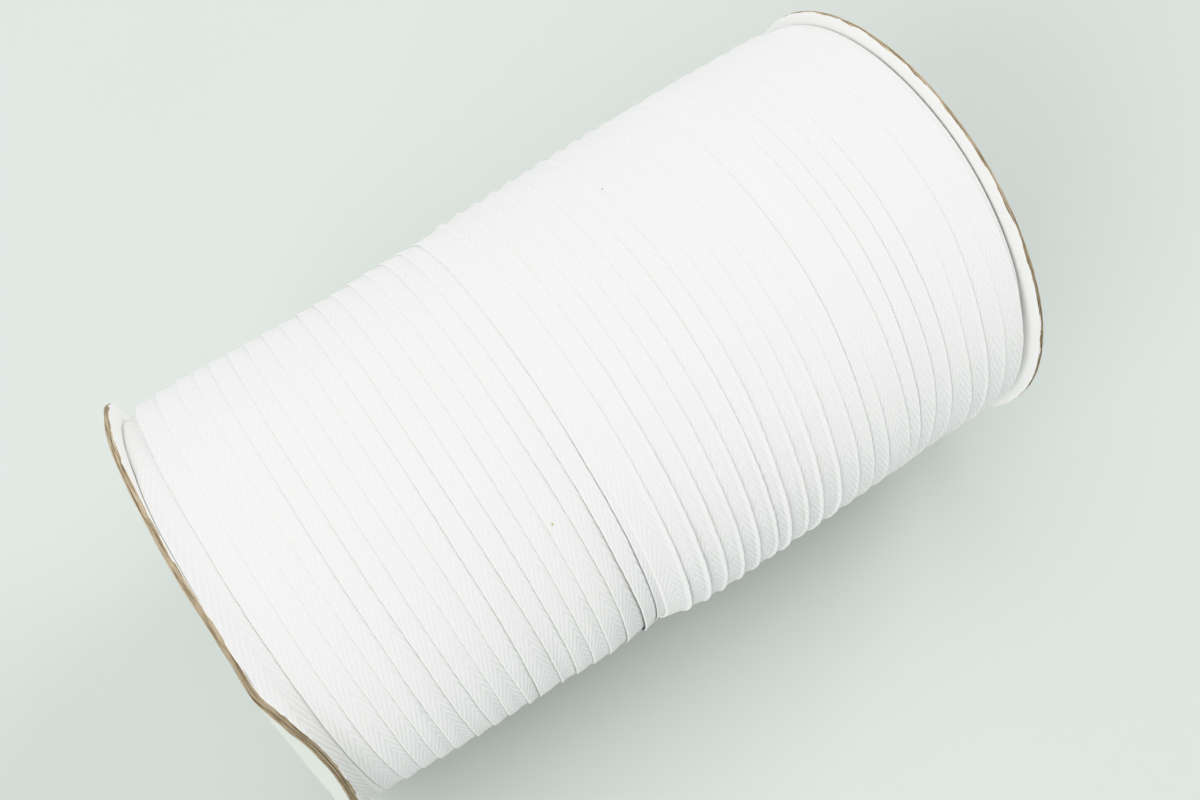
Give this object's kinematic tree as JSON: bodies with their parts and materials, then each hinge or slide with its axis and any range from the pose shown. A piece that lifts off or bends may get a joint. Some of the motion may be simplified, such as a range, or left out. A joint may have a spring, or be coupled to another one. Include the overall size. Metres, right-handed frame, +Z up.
{
  "type": "roll of twill tape",
  "caption": "Roll of narrow white herringbone twill tape wound side by side on a spool with thin board ends, lying on its side.",
  "frame": {"origin": "middle of the length, on the surface that the roll rests on, straight under its axis", "axes": "+X along the roll's axis from the creased board to the plain board, +Z up"},
  "size_m": [0.19, 0.1144, 0.1142],
  "materials": {
    "tape": "matt white cotton, herringbone twill weave",
    "board": "white paper lined board with a raw brown cut edge"
  },
  "bodies": {
    "root": {"wound_tape": "tape", "end_board_left": "board", "end_board_right": "board"}
  },
  "joints": []
}
